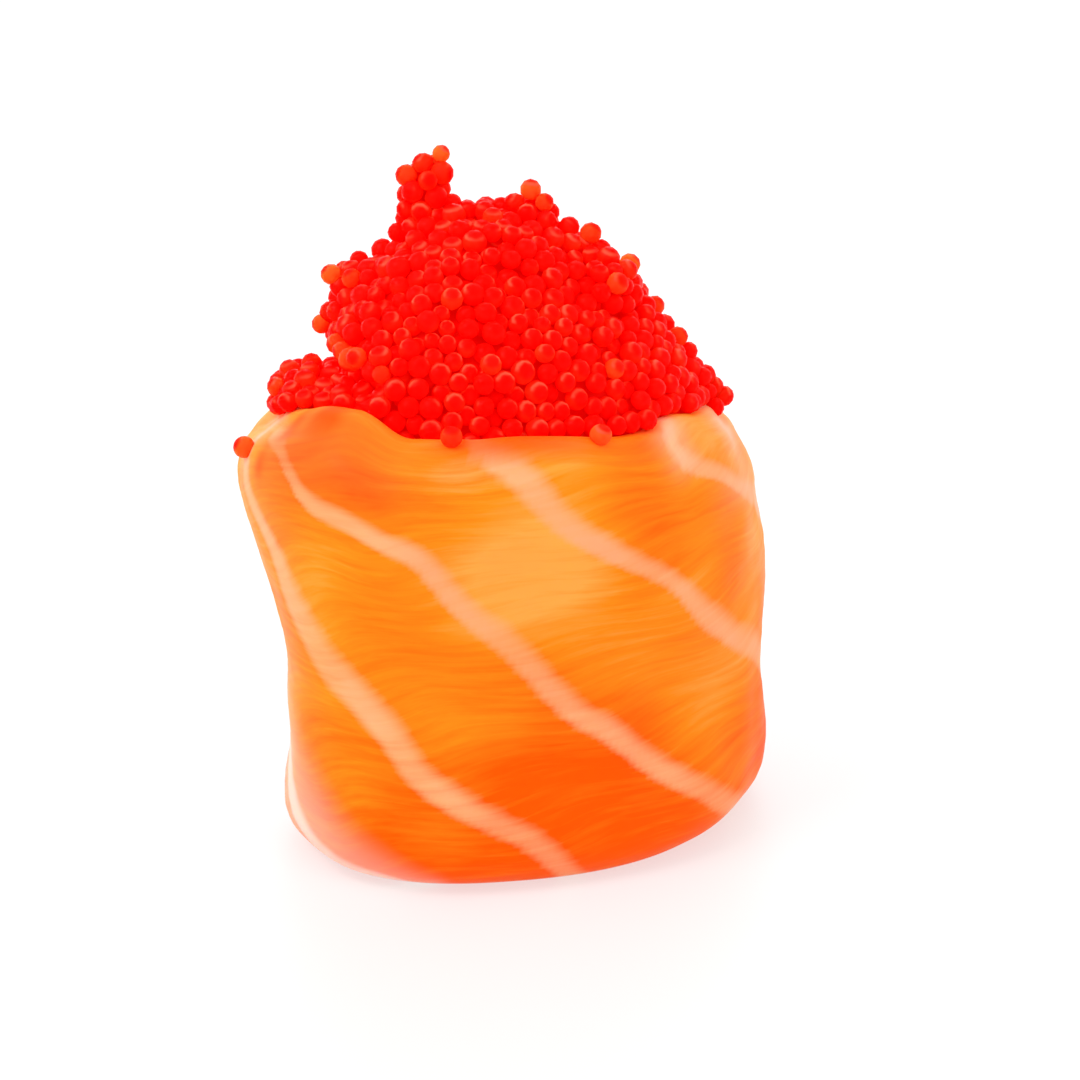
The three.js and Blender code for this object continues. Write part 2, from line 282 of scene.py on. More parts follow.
def past_seam(turn):
    """Crowds the columns at the seam, where the step is."""
    return turn - SEAM_CROWDING * np.sin(2 * np.pi * turn) / (2 * np.pi)


# %% [markdown]
# The salmon's surface
#
# The end of the slice is a cut edge with a soft round corner, and just before it the lower layer dips into
# the corner, so the step reads as one layer lying on another. The lap is therefore worked out here a little
# more finely than a plain step.

# %% The salmon mesh
COLUMNS = 400
END_ROUND = 1.1  # radius of the slice's cut end
SEAM_DIP = {"depth": 0.35, "length": 1.6}
WALL_ROUND = 125  # the wall's length round the tub

salmon = mesh_of(spun(tub_section(), COLUMNS), "salmon_flesh")
radius, turn, height = turned_places(salmon, COLUMNS)
past = past_seam(turn)
from_end = past * WALL_ROUND
to_end = (1 - past) * WALL_ROUND
corner = np.sqrt(np.clip(1 - (1 - np.clip(from_end / END_ROUND, 0, 1)) ** 2, 0, 1))
lap = LAP * (1 - ease(past, 0, LAP_LENGTH)) * corner
lap -= SEAM_DIP["depth"] * (1 - ease(to_end, 0, SEAM_DIP["length"]))
lap[turn == 0] = -SEAM_DIP["depth"]
salmon_places = press(radius, past, height, lap)
print("salmon points:", len(salmon_places), "faces:", len(salmon.polygons))

# %% [markdown]
# A ruler on the flesh
#
# Grain and fat follow the slice round the tub, so they need a measure that does too. The UV map holds it,
# in millimetres: across is the way round from the slice's end, and up is the way along the section. At the
# seam the last column has to read a full turn and not zero, or the whole pattern would be squeezed into one
# face.

# %% UV map in millimetres
section = np.array(tub_section())
section_way = np.r_[0, np.cumsum(np.hypot(*np.diff(section, axis=0).T))]
wall_start = np.argmax(section[:, 0] >= WRAP_REACH - 1e-6)
section_way += section[wall_start, 1] - section_way[wall_start]
row_of = np.array([np.argmin(np.hypot(section[:, 0] - r, section[:, 1] - h)) for r, h in zip(radius, height)])
way_up = section_way[row_of]

loop_points = np.empty(len(salmon.loops), int)
salmon.loops.foreach_get("vertex_index", loop_points)
loop_faces = np.repeat(np.arange(len(salmon.polygons)), [p.loop_total for p in salmon.polygons])
loop_turn = turn[loop_points]
face_turn = np.bincount(loop_faces, loop_turn > 0.5) > 0
loop_past = np.where(face_turn[loop_faces] & (loop_turn == 0), 1, past[loop_points])
ruler = salmon.uv_layers.new(name="ruler")
ruler.data.foreach_set("uv", np.stack([loop_past * WALL_ROUND, way_up[loop_points]], axis=1).ravel())
print("the ruler runs from", round(section_way[0], 1), "to", round(section_way[-1], 1), "mm up the section")

# %% [markdown]
# The run of the fibres
#
# Muscle fibres run round the tub, but not in straight lines. Between two bands of fat they start steeply at
# the lower band and level out towards the upper one. A second UV map follows them: its first number runs
# along a fibre and its second counts across fibres, so a long thin noise laid on it bends as the real grain
# does.

# %% UV map along the fibres
BAND_SLOPE = -0.74  # height lost for each millimetre round the tub
BAND_SPACING = 12.5  # between two bands, measured up the wall
FIBRE_TILT = 0.1
FIBRE_BOW = 0.45
STEEPEST = 49.5  # how high up the wall, at the slice's end, a band would lie whose fibres are the steepest

loop_way = loop_past * WALL_ROUND
loop_up = way_up[loop_points]
between_bands = (loop_up - BAND_SLOPE * loop_way - STEEPEST) / BAND_SPACING
across = loop_up - FIBRE_TILT * loop_way - FIBRE_BOW * np.sin(2 * np.pi * between_bands)
grain = salmon.uv_layers.new(name="grain")
grain.data.foreach_set("uv", np.stack([loop_way, across], axis=1).ravel())

# %% [markdown]
# The fat lines
#
# Salmon muscle is built of folded sheets with thin layers of fat between them. A slanting cut shows these
# as pale bands that run down the wall from upper left to lower right. Each band on the shown side is a
# smooth curve through a few places, written as the way round, the height and the band's width there. Round
# the back the same bands go on at the same spacing. The upper side of a band frays into the muscle and its
# lower side is firmer.

# %% Courses of the fat lines
FAT_BANDS = {
    "left": [(11, 33, 1.2), (13, 28.5, 1.9), (15, 25.6, 2.4), (16.3, 23.3, 3.2), (17.6, 21.2, 3.8),
             (19.3, 19.7, 4.2), (23, 16.4, 3.9), (25.6, 14.8, 3.2), (30.4, 11.3, 2.9), (32.9, 9.3, 2.5),
             (38.3, 5.8, 2.1), (41.9, 3.1, 2), (47, -2, 2)],
    "first": [(11, 33, 1), (15.2, 31.6, 1.2), (18.6, 30.7, 1.3), (21, 29.3, 1.4), (23, 28, 1.6),
              (25.5, 27.2, 1.8), (29.1, 26.9, 1.9), (31.5, 26.3, 1.9), (33.9, 25.1, 2.1), (37.1, 21.2, 2.1),
              (40.7, 17.2, 2), (44.6, 12.9, 2.3), (46.5, 11.6, 2.3), (49.6, 9.4, 2.2), (52.6, 6.9, 2.1),
              (55, 5.3, 2.1), (59, 3.2, 2.2), (64, 1, 1.6), (68, -1, 1.6)],
    "second": [(35.5, 36, 1.5), (37.6, 33, 1.6), (39.5, 31.4, 2.2), (41.2, 29.6, 2.6), (43.9, 27.1, 2.2),
               (49.3, 23.5, 1.8), (52, 21.8, 1.8), (55.3, 18.9, 2.1), (60.9, 15.3, 2.4), (66, 12.3, 2.6),
               (80, 1.5, 2.6), (86, -3, 2)],
    "third": [(59, 34, 1), (57.2, 33, 1), (55.8, 32.2, 1.2), (55.8, 31, 1.5), (57, 29.9, 1.7),
              (60.2, 28.5, 1.9), (62.4, 27.4, 2.1), (64.8, 26.3, 2.4), (69.6, 23.8, 2.6), (78, 15.5, 2.6),
              (90, 5.5, 2.4), (98, -2, 2)],
}
BACK_BANDS = 4
BACK_WAVE = 0.9
BACK_WIDTH = {"mean": 2.1, "wave": 0.5}
BAND_STEP = 0.5
FIRM_SIDE = (0.4, 1.1)  # where a band starts and ends to fade on its lower side, in half widths
FRAYED_SIDE = (0.2, 1.6)  # and on its upper side


# %% Fat lines
def smooth_curve(points, step):
    """Points every `step` or so on a smooth curve through a few places (a Catmull-Rom curve)."""
    rows = np.array([points[0], *points, points[-1]], float)
    curve = []
    for a, b, c, d in zip(rows, rows[1:], rows[2:], rows[3:]):
        t = np.linspace(0, 1, max(2, int(math.dist(b, c) / step)), endpoint=False)[:, None]
        square, cube = 2 * a - 5 * b + 4 * c - d, 3 * b - a - 3 * c + d
        curve.append(0.5 * (2 * b + (c - a) * t + square * t**2 + cube * t**3))
    return np.vstack([*curve, rows[-1:]])


def back_band(index):
    """A band behind the shown side: straight but for a gentle wave."""
    crossing = FAT_BANDS["third"][-3][1] - BAND_SLOPE * FAT_BANDS["third"][-3][0] + BAND_SPACING * (index + 1)
    heights = np.arange(36, -4, -5)
    wave = BACK_WAVE * np.sin(heights / 5 + 2.1 * index)
    widths = BACK_WIDTH["mean"] + BACK_WIDTH["wave"] * np.sin(heights / 7 + index)
    return [((h - crossing) / BAND_SLOPE, h + w, width) for h, w, width in zip(heights, wave, widths)]


def band_mask(points, ways, heights):
    """1 in the middle of a band and 0 outside it."""
    curve = smooth_curve(points, BAND_STEP)
    best = np.full(len(ways), 1e9)
    side = np.zeros(len(ways))
    width = np.zeros(len(ways))
    for (u0, h0, w0), (u1, h1, w1) in zip(curve, curve[1:]):
        du, dh = u1 - u0, h1 - h0
        along = np.clip(((ways - u0) * du + (heights - h0) * dh) / (du * du + dh * dh), 0, 1)
        off_u, off_h = ways - u0 - along * du, heights - h0 - along * dh
        distance = np.hypot(off_u, off_h)
        nearer = distance < best
        best = np.where(nearer, distance, best)
        side = np.where(nearer, off_h * du - off_u * dh, side)
        width = np.where(nearer, w0 + (w1 - w0) * along, width)
    halves = best / (width / 2)
    return 1 - np.where(side > 0, ease(halves, *FRAYED_SIDE), ease(halves, *FIRM_SIDE))


# %% [markdown]
# Depth of colour
#
# Four masks are painted on the mesh. "fat" is the bands and the thin pale rim of the slice. "depth" says
# how deep the orange is, and it carries painted light and shade: shallow, as painted light, where light
# comes through the thin slice, and deep, as painted shade, low down and away from the light above, with
# the flesh's own unevenness on top. The third mask is redder where roe lies against the flesh or shows
# red through it: partly roe stain, partly painted red light from the roe. The fourth is a milky paleness,
# strongest low on the left, where the slice is thin: partly its moist skin, partly painted sheen where that
# skin catches the light. They are stored on the points, so the material can read them and they stay with
# the surface whatever happens to the mesh.

# %% Sizes of the masks
# Paler spots are painted light, as in the window in the front, where light comes through the thin slice.
LIT_SHALLOW_SPOTS = {  # way round, height, reach round, reach up, strength
    "window in the front": (40, 23.5, 5.5, 4.5, 0.55),
    "right foot": (58, 12, 6, 8, 0.35),
    "left toe": (12, 6, 6, 5, 0.5),
}
# Deeper spots are partly the flesh's own colour and partly painted shade, as under the flap and at the front
# foot.
DEEP_AND_SHADED_SPOTS = {
    "right of the second band": (51, 27, 6, 4, 0.5),
    "right side": (58, 20, 4, 5, 0.4),
    "over the window": (32, 29.5, 5, 2, 0.2),
    "under the flap": (26, 30, 9, 2.6, 0.5),
    "left side": (17, 26, 5, 6, 0.25),
    "above the window": (30, 22, 7, 5, 0.2),
    "between the bands": (45, 10, 6, 4, 0.2),
    "front foot": (38, 1, 14, 3, 0.2),
}
WAVER = {"wide": 0.35, "fine": 0.06}  # how far the edges of the bands wander, in millimetres
FAT_STRENGTH = 0.85
FAT_UNEVEN = 0.35
FAT_FOOT = 2.2 * FOOT_ROUND  # how far in from the wall the underside's fat ends
LOW_FAT_FADE = {"share": 0.3, "low": 0, "high": 12}
# Painted shade: the orange is deepest at the foot and grows paler on the way up, towards the light from
# above.
SHADED_DEPTH_AT_FOOT = 0.95
DEPTH_AND_SHADE_LOST = {"share": 0.62, "low": 2, "high": 24}  # on the way up
DEPTH_UNEVEN = 0.28
# Painted sheen: a milky pale band low on the left where the slice is thin, partly its moist skin and partly
# painted light where that skin catches it. The spots add the same on thin edges.
VEIL_AND_SHEEN = [(4.5, 18, 1.6), (6, 13, 2.2), (8.2, 9.6, 2.8), (11.6, 6.4, 3), (15, 4.1, 3), (18.4, 2.6, 2.8),
        (23, 1.5, 2.2), (28, 0.8, 1.6), (33, -0.4, 1.2)]
VEIL_AND_SHEEN_SHARE = 0.85
VEIL_AND_SHEEN_WIDE = 3.4  # a thinner band of the same round it, this much wider
VEIL_AND_SHEEN_WIDE_SHARE = 0.33
VEIL_AND_SHEEN_SPOTS = {
    "end of the slice": (12, 30.5, 1.4, 3, 0.2),
    "flap": (22, 31.6, 9, 3, 0.04),
    "corner of the right flap": (56.5, 32.4, 2.2, 0.7, 0.3),
    "third band": (56, 30.8, 1.8, 1.2, 0.25),
    "third band, right": (64, 27, 4, 1.4, 0.2),
    "edge of the tab": (67, 31.5, 2.6, 2.2, 0.4),
    "left side": (14, 18, 6, 14, 0.045),
}
PALE_SPOTS = {
    "thin tab at the right": (66, 32, 3.5, 1.8, 0.3),
    "edge of the flare": (11.5, 25, 2, 4, 0.18),
    "thin start of the first band": (21, 29.8, 5, 3, -0.35),
    "front rim by the second band": (36.5, 31.2, 3, 0.9, 0.35),
}
# Redder where roe lies against the flesh: partly roe stain, partly painted red light thrown and let through
# by the roe.
STAINS_AND_RED_LIGHT = {
    "whole flap": (23, 31.4, 8, 2.4, 0.5),
    "front rim": (41, 32.9, 9, 1.1, 0.9),
    "flap": (22.2, 32.5, 2.4, 0.9, 0.8),
    "flap, left": (17.8, 32.1, 1.3, 0.9, 0.7),
    "under the egg": (16.2, 29.6, 1.0, 1.1, 0.7),
    "right flap": (52.5, 32.2, 2.0, 0.9, 0.35),
}


# %% Painting the masks
def ripple(stretch_round, stretch_up, seed):
    """Smooth random values for all points of the salmon, about -1 to 1."""
    stretched = salmon_places / (stretch_round, stretch_round, stretch_up) + (0, 0, seed)
    return np.array([noise.noise(Vector(place)) for place in stretched])


def store(mesh, name, values):
    """Keeps a number for each point of a mesh."""
    kept = mesh.attributes.new(name, "FLOAT", "POINT")
    kept.data.foreach_set("value", values.astype(np.float32).ravel())


def spots(table):
    """Soft round spots on the wall, added up."""
    total = np.zeros(len(from_end))
    for way, up, reach_round, reach_up, strength in table.values():
        total += strength * np.exp(-(((from_end - way) / reach_round) ** 2 + ((height - up) / reach_up) ** 2))
    return total


waver = WAVER["wide"] * ripple(7, 5, 1.7) + WAVER["fine"] * ripple(1.6, 0.9, 5.2)
bands = [*FAT_BANDS.values(), *(back_band(i) for i in range(BACK_BANDS))]
fat = np.zeros(len(from_end))
for band in bands:
    fat = np.maximum(fat, band_mask(band, from_end + waver, height + waver))
faded = LOW_FAT_FADE["share"] * (1 - ease(height, LOW_FAT_FADE["low"], LOW_FAT_FADE["high"]))
strength = (FAT_STRENGTH + FAT_UNEVEN * ripple(6, 6, 12.4)) * (1 - faded)
fat = np.clip(fat * strength + spots(PALE_SPOTS), 0, 1)
# partly moist skin, partly painted sheen on the thin edges of the slice
veil = VEIL_AND_SHEEN_SHARE * band_mask(VEIL_AND_SHEEN, from_end + waver, height + waver)
wide_veil_and_sheen = [(way, up, width * VEIL_AND_SHEEN_WIDE) for way, up, width in VEIL_AND_SHEEN]
veil = np.maximum(veil, VEIL_AND_SHEEN_WIDE_SHARE * band_mask(wide_veil_and_sheen, from_end, height))
veil = np.clip(veil + spots(VEIL_AND_SHEEN_SPOTS), 0, 1)
outside = ease(radius, LIP_RADIUS - LIP_ROUND, LIP_RADIUS)
fat *= np.where(height < FOOT_ROUND, ease(radius, WRAP_REACH - FAT_FOOT, WRAP_REACH - FOOT_ROUND), 1)
# painted light and shade: deep at the foot, paler upwards, with the painted spots and a random unevenness on
# top
depth = SHADED_DEPTH_AT_FOOT - DEPTH_AND_SHADE_LOST["share"] * ease(height, DEPTH_AND_SHADE_LOST["low"], DEPTH_AND_SHADE_LOST["high"])
depth += spots(DEEP_AND_SHADED_SPOTS) - spots(LIT_SHALLOW_SPOTS) + DEPTH_UNEVEN * ripple(7, 4, 9.1)
# partly roe stain, partly painted red light from the roe
stain = np.clip(spots(STAINS_AND_RED_LIGHT), 0, 1)

for name, values in {"fat": fat, "depth": np.clip(depth, 0, 1), "stain": stain, "veil": veil}.items():
    store(salmon, name, values)
    print(name, "mean", round(float(values.mean()), 3))

# %% [markdown]
# Relief
#
# Moist flesh isn't smooth: the muscle swells a little between the fat bands, soft lumps press through from
# inside, and the fibres leave a fine grain along the way round. The points move along their normals by a
# few hundredths of a millimetre for the grain and a tenth or two for the lumps. The underside stays flat.

# %% Relief on the salmon
LUMPS_HIGH = 0.16
GRAIN_HIGH = 0.035
BAND_SUNK = 0.07
FOOT_PLAIN = 1.5  # up to this height the relief is still coming in


def write_places(mesh, places):
    mesh.vertices.foreach_set("co", places.astype(np.float32).ravel())
    mesh.update()


write_places(salmon, salmon_places)
lift = LUMPS_HIGH * ripple(4.5, 4.5, 3.3) + GRAIN_HIGH * ripple(3.2, 0.55, 7.7) - BAND_SUNK * fat
lift *= ease(height, 0, FOOT_PLAIN) * outside
salmon_places = salmon_places + places_of(salmon, "normal") * lift[:, None]
write_places(salmon, salmon_places)
print("relief from", round(lift.min(), 2), "to", round(lift.max(), 2), "mm")

# %% [markdown]
# The stray eggs
#
# Three eggs have dropped onto the salmon: one clings to its left side and two lie on the front of the rim.
# They belong to the salmon's solid, and are a piece of their own here, because they have the roe's finish.
# Their places are given on the plain tub and pressed like everything else.

# %% Places of the stray eggs
STRAY_EGGS = [  # radius, angle, height
    (WRAP_REACH - 0.65, 193, 30.7),
    (WRAP_REACH - SHOULDER_LEAN - 0.6, 260, RIM_HEIGHT + 0.4),
    (WRAP_REACH - SHOULDER_LEAN - 0.6, 296, RIM_HEIGHT + 0.4),
]
stray_places = np.array([press(r, (angle - SEAM_ANGLE) / 360, h) for r, angle, h in STRAY_EGGS])
print("stray eggs at", stray_places.round(1).tolist())

# %% [markdown]
# The heap's form
#
# The heap is a hill with a hollow on its left, a thin tower and a small horn on top, and a shoulder, a
# cheek and a ledge. A spun hill and six balls, overlapping, are all it takes, and a voxel remesh melts them
# into one closed skin. The same recipe, drawn in by an inset, makes the core that is seen between the eggs.

# %% Heap form
HILL_TOP = 46.6
HILL_FOOT = RIM_HEIGHT + 0.2
HILL_REACH = 14.6
HILL_LEAN = 0.9
HILL_COLUMNS = 120
HILL_ROWS = 25
HOLLOW = {"depth": 5.3, "middle": 35.9, "half": 2.1, "low": 7.8, "high": 12.4}
STAND_BACK = {"depth": 2.0, "low": 8, "high": 15, "top": HILL_FOOT + 5}  # its foot lies behind the front rim
LUMPS = {  # middle, half sizes
    "tower": ((-5.5, 0.4, HEAP_TOP - 5.7), (1.5, 1.4, 4.6)),
    "tower tip": ((-4.8, 0.4, HEAP_TOP - 2.1), (1, 0.9, 1.3)),
    "horn": ((2.2, 0.3, HEAP_TOP - 6.2), (1.8, 1.8, 2.7)),
    "shoulder": ((7, -0.4, 40.8), (3, 5, 2.6)),
    "left cheek": ((-9, -1.4, 40.2), (3.2, 4.6, 2.6)),
    "left ledge": ((-12.9, -4.6, 33.8), (3.7, 6, 1.6)),
}
VOXEL = 0.3


def hill(inset):
    """The hill, drawn in by an inset."""
    reach, top, foot = HILL_REACH - inset, HILL_TOP - inset, HILL_FOOT - inset / 2
    floor = RECESS_FLOOR + GAP
    rows = 1 - np.linspace(0, 1, HILL_ROWS)
    section = [(0, floor)] + walk((0, floor), (reach, floor), 1)
    section += [(reach * share, foot + (top - foot) * (1 - share**2)) for share in rows]
    mesh = mesh_of(spun(section, HILL_COLUMNS), "hill")
    radius, turn, height = turned_places(mesh, HILL_COLUMNS)
    places = press(radius, past_seam(turn), height)
    left = ease(-places[:, 0], HOLLOW["low"], HOLLOW["high"])
    level = 1 - ease(np.abs(places[:, 2] - HOLLOW["middle"]), 0, HOLLOW["half"])
    places[:, 0] += HOLLOW["depth"] * left * level - HILL_LEAN * ease(places[:, 2], HILL_FOOT, HILL_TOP)
    front = ease(-places[:, 1], STAND_BACK["low"], STAND_BACK["high"])
    places[:, 1] += STAND_BACK["depth"] * front * (1 - ease(places[:, 2], HILL_FOOT, STAND_BACK["top"]))
    write_places(mesh, places)
    return mesh


def heap_form(name, inset):
    """The hill and its lumps as one closed skin."""
    bm = bmesh.new()
    bm.from_mesh(hill(inset))
    for middle, half in LUMPS.values():
        size = Matrix.Diagonal([max(h - inset, h / 3) for h in half] + [1])
        bmesh.ops.create_icosphere(bm, subdivisions=4, radius=1, matrix=Matrix.Translation(middle) @ size)
    rough = in_scene(name, mesh_of(bm, name))
    remesh = rough.modifiers.new("one skin", "REMESH")
    remesh.mode = "VOXEL"
    remesh.voxel_size = VOXEL
    evaluated = rough.evaluated_get(bpy.context.evaluated_depsgraph_get())
    skin = bpy.data.meshes.new_from_object(evaluated)
    skin.name = name
    bpy.data.objects.remove(rough)
    return skin


CORE_UNDER = 0.8  # how far the core stays under the skin

heap_skin = heap_form("heap_form", 0)
core = heap_form("roe_core", CORE_UNDER)
print("heap skin:", len(heap_skin.polygons), "faces; core:", len(core.polygons), "faces")

# %% [markdown]
# Packing the roe
#
# Eggs that are spread at random overlap, and eggs on a grid look knitted. So they start at random in the
# outer few millimetres of the heap and then push each other apart, over and over, while the heap's skin
# keeps them in, the salmon keeps them out and a slight pull draws them outwards. That leaves them touching,
# uneven and in no rows. The single eggs that make the heap's outline, and a few that close the gaps behind
# those, stay where they are and only push others.

# %% Sizes of the packing
SKIN_SHARE = 0.5  # square millimetres of skin for each try to lay an egg of the outer layer
INNER_SHARE = 1.2  # cubic millimetres for each try under it
START_APART = 1.08  # tries that come nearer than this to an egg are left out
PACKED_DEPTH = 3.6  # how deep under the skin eggs are laid
LOWEST_EGG = RIM_HEIGHT - 2.5
ROUNDS = 60
PULL = 0.03  # outwards in each round, for eggs of the outer layer
OUTER_LAYER = 1.7
SIZE_SPREAD = 0.08
PRESSED = 0.95  # eggs press each other a little flat, so they come closer than they are wide
EGG_OUT = 0.4  # how far an egg's middle may stand out of the skin
EGG_UNEVEN = 0.7  # how much of that soft clumps take back
EGG_LONE = 1.0  # and how much each egg may on its own
CROWDED = 0.8  # nearer than this share of touching, one of two eggs is taken away
THIN = (2.5, 6)  # where the heap is as thin as this the eggs lie evenly
CLUMP = 2.6
NEAR_SALMON = RIM_HEIGHT + 3  # eggs that lie higher can't touch the salmon
OUTLINE_EGGS = [
    (-4.25, 0.4, HEAP_TOP - EGG), (-4.2, 0.2, HEAP_TOP - EGG - 1.4), (-5.6, 0.4, HEAP_TOP - EGG - 0.7),
    (-6.8, 0.4, HEAP_TOP - EGG - 1.6), (-3.5, 0.2, 46.8), (2.3, 0.3, HEAP_TOP - EGG - 2.65),
    (1.1, 0, 46.9), (5.1, 0.2, 45.1), (6.7, 0.2, 44.65), (9.6, 0.2, 42.4), (13.3, 3, 36.4),
    (14.1, 3.3, 35.2), (15.4, 4.1, 33.2), (16.8, 4.6, 31.5), (-12.3, -1.5, 41.9), (-13.1, -1.5, 38.2),
    (-15.3, -3.6, 35.2), (-13.7, -3.8, 35.75), (16.05, 4.35, 32.3), (14.5, 3.7, 33.9), (-11.6, -1.5, 41),
    (-12.4, -1.5, 39.1), (6, 0.2, 43.75), (-7.45, 0.2, 44.7), (-8.6, 0, 43.45), (-10.3, -0.5, 42.8),
    (-12.15, -1.5, 37.5), (11.5, 2.5, 38.8), (12.91, 3.15, 35.28), (16, 4.1, 30.75),
]
TOWER_RINGS = [  # how far below the top, reach, eggs
    (2.5, 1.1, 4), (3.5, 1.35, 6), (4.6, 1.4, 6), (5.7, 1.45, 6), (6.8, 1.5, 6), (7.9, 1.5, 6)]
RING_TWIST = 0.55
FILL_EGGS = [  # they close the gaps behind and between the eggs of the outline
    (-4.72, 1.2, 49.55), (-6.1, 1.4, 48.8), (-5.2, -0.8, 48.7), (-12, 1.2, 38), (-11.4, 1.4, 36.8),
    (2.5, 0.9, 46.5), (3.7, 1.1, 46.1), (14.2, 2.6, 34), (15, 2.9, 33.3), (15.6, 3.2, 32.1),
    (16.1, 2.9, 31),
]
BARE = [(3.4, 1, 47.5), (0.9, 1.4, 47.6)]  # beside the egg on the horn nothing stands up
BARE_REACH = 1.2


# %% Where the eggs start
def tree_of(mesh):
    bm = bmesh.new()
    bm.from_mesh(mesh)
    tree = BVHTree.FromBMesh(bm)
    bm.free()
    return tree


def depth_in(tree, place):
    """How far a place lies outside a closed surface (less than 0 inside it), and which way is out."""
    nearest, normal, _, _ = tree.find_nearest(place)
    away = Vector(place) - nearest
    out = away.dot(normal)
    return math.copysign(away.length, out), normal


random = np.random.default_rng(11)
heap_tree = tree_of(heap_skin)
salmon_tree = tree_of(salmon)


def on_skin(mesh, each):
    """Random places on a mesh, one for each so many square millimetres."""
    mesh.calc_loop_triangles()
    corners = places_of(mesh)[[triangle.vertices[:] for triangle in mesh.loop_triangles]]
    a, b, c = corners[:, 0], corners[:, 1], corners[:, 2]
    areas = np.linalg.norm(np.cross(b - a, c - a), axis=1) / 2
    picks = random.choice(len(areas), int(areas.sum() / each), p=areas / areas.sum())
    u, v = np.sort(random.random((2, len(picks))), axis=0)[:, :, None]
    return a[picks] * u + b[picks] * (v - u) + c[picks] * (1 - v)


def in_heap(mesh, tree, each):
    """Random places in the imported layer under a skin, one for each so many cubic millimetres."""
    low, high = places_of(mesh).min(0), places_of(mesh).max(0)
    tries = random.uniform(low, high, (int(np.prod(high - low) / each), 3))
    return np.array([place for place in tries if -PACKED_DEPTH < depth_in(tree, place)[0] < -EGG])


def in_tower():
    """Rings of places, each turned against the one above, so that the thin tower is filled all round."""
    x, y, _ = LUMPS["tower"][0]
    rows = []
    for ring, (below, reach, count) in enumerate(TOWER_RINGS):
        for way in np.arange(count) / count * 2 * math.pi + RING_TWIST * ring:
            rows.append((x + reach * math.cos(way), y + reach * math.sin(way), HEAP_TOP - below))
    return rows


def neighbours(places, reach):
    """Every two places that are nearer to each other than a reach."""
    squares = (places**2).sum(1)
    away = squares[:, None] + squares[None] - 2 * places @ places.T
    return np.nonzero(np.triu(away < reach * reach, 1))


def spaced(places, apart):
    """Leaves out every place that comes too near to one before it."""
    kept = np.ones(len(places), bool)
    for first, second in zip(*neighbours(places, apart)):
        kept[second] &= not kept[first]
    return places[kept]


tries = np.vstack([on_skin(heap_skin, SKIN_SHARE), in_heap(heap_skin, heap_tree, INNER_SHARE)])
tries = tries[tries[:, 2] > LOWEST_EGG]
eggs = spaced(np.vstack([OUTLINE_EGGS, FILL_EGGS, in_tower(), tries]), START_APART)
fixed = np.arange(len(eggs)) < len(OUTLINE_EGGS) + len(FILL_EGGS)
sizes = EGG * (1 + SIZE_SPREAD * random.standard_normal(len(eggs)).clip(-2, 2))
print("eggs to pack:", len(eggs))


# %% Pushing them apart
def push_apart(places, radii, first, second):
    """How each ball has to move so that no two are inside each other."""
    away = places[first] - places[second]
    distance = np.linalg.norm(away, axis=1)
    inside = np.clip(PRESSED * (radii[first] + radii[second]) - distance, 0, None)
    push = away * (inside / distance / 2)[:, None]
    move = np.zeros_like(places)
    np.add.at(move, first, push)
    np.subtract.at(move, second, push)
    return move


def thickness(place):
    """How much roe there is from the skin nearest to a place to the skin on its other side."""
    nearest, normal, _, _ = heap_tree.find_nearest(place)
    _, _, _, through = heap_tree.ray_cast(nearest - normal * VOXEL, -normal)
    return through or 0


def bounded(place, size, freedom, lone):
    """Where an egg goes so that it stays in the heap and off the salmon."""
    place = Vector(place)
    out, outwards = depth_in(heap_tree, place)
    limit = freedom * (EGG_OUT - EGG_UNEVEN * (1 + noise.noise(place / CLUMP)) / 2 - lone)
    if out > -OUTER_LAYER:
        place += outwards * min(PULL, limit - out)
    if place.z < NEAR_SALMON:
        clear, off = depth_in(salmon_tree, place)
        if clear < size:
            place += off * (size - clear)
    return place


freedom = ease([thickness(place) for place in eggs], *THIN)
lone = EGG_LONE * random.random(len(eggs)) ** 2
for step in range(ROUNDS):
    if step % 10 == 0:
        pairs = neighbours(eggs, 2 * ROE_DIAMETER)
    eggs = eggs + np.where(fixed[:, None], 0, push_apart(eggs, sizes, *pairs))
    for i in np.nonzero(~fixed)[0]:
        eggs[i] = bounded(eggs[i], sizes[i], freedom[i], lone[i])
first, second = neighbours(eggs, ROE_DIAMETER)
apart = np.linalg.norm(eggs[first] - eggs[second], axis=1) / (sizes[first] + sizes[second])
spare = np.unique(second[(apart < CROWDED) & ~fixed[second]])
near_bare = np.linalg.norm(eggs[:, None] - np.array(BARE)[None], axis=2).min(1) < BARE_REACH
spare = np.union1d(spare, np.nonzero(near_bare & ~fixed)[0])
eggs, sizes = np.delete(eggs, spare, 0), np.delete(sizes, spare)
print("eggs left:", len(eggs))
overlap = push_apart(eggs, sizes, *neighbours(eggs, ROE_DIAMETER))
print("last push in mm:", round(float(np.abs(overlap).mean()), 3))

# %% [markdown]
# From places to eggs
#
# A small network of geometry nodes puts an egg on every place and makes the copies real, so that the whole
# heap is one mesh. A helper adds each node, sets what is plain and links what is a socket. Each place
# carries its egg's size and turn. Every point of the eggs then gets three values: how far it faces out of the
# heap, how far it faces up, and how open its egg lies. From these the roe's colour paints light and shade: an
# egg with many neighbours is painted dense red, because light crosses many eggs before it comes back, and a
# lone one at the edge is painted a glowing orange.

# %% Node helper
def node(tree, kind, inputs=None, **settings):
    """A node with its inputs set or linked."""
    made = tree.nodes.new(kind)
    for name, value in settings.items():
        setattr(made, name, value)
    for name, value in (inputs or {}).items():
        if isinstance(value, bpy.types.NodeSocket):
            tree.links.new(value, made.inputs[name])
        else:
            made.inputs[name].default_value = value
    return made


